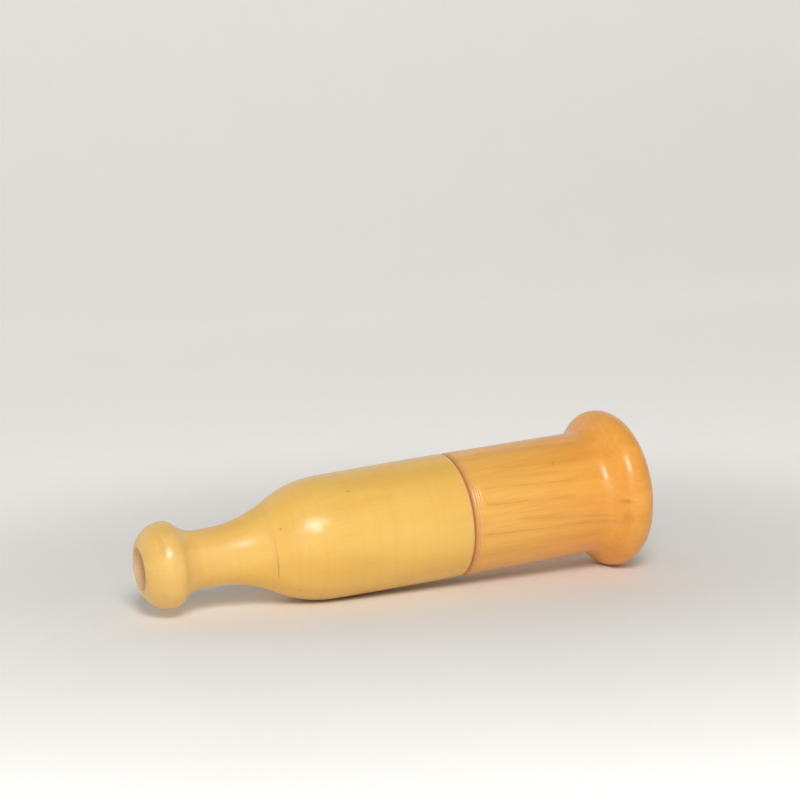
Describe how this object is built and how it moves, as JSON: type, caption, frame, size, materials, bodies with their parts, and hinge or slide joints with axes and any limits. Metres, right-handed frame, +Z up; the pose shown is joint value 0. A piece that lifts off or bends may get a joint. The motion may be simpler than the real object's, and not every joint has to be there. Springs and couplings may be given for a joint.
{
  "type": "duck call",
  "caption": "Turned boxwood duck call: ball-ended mouthpiece with a reed chamber, and a flared bell whose corked tenon plugs into it and carries the tone board and reed.",
  "frame": {"origin": "on the floor, under the middle of the call as it lies on its body and on the bell's rim", "axes": "+X along the call as it lies, from the blow hole towards the bell's mouth; +Z up. The call's own axis rises towards the bell by 3.72 degrees"},
  "size_m": [0.1412, 0.0438, 0.0437],
  "materials": {
    "pale_boxwood": "satin lacquer",
    "amber_boxwood": "satin lacquer",
    "cork": "matt",
    "insert_wood": "oiled",
    "reed_brass": "polished"
  },
  "bodies": {
    "mouthpiece": {"mouthpiece": "pale_boxwood"},
    "cork_joint": {"tenon_cork": "cork"},
    "bell": {"bell": "amber_boxwood", "tone_board": "insert_wood", "reed_wedge": "cork"},
    "reed": {"reed": "reed_brass"}
  },
  "joints": [
    {"name": "bell_pull", "type": "slide", "parent": "mouthpiece", "child": "cork_joint", "axis": [0.9979, 0, 0.0648], "range_m": [0, 0.06]},
    {"name": "bell_twist", "type": "hinge", "parent": "cork_joint", "child": "bell", "pos_m": [0.01667, 0, 0.01881], "axis": [0.9979, 0, 0.0648], "continuous": true},
    {"name": "reed_flex", "type": "hinge", "parent": "bell", "child": "reed", "pos_m": [-0.00081, 0, 0.01869], "axis": [0, -1, 0], "range_deg": [0, 2], "stiffness_Nm_per_rad": 0.02}
  ]
}
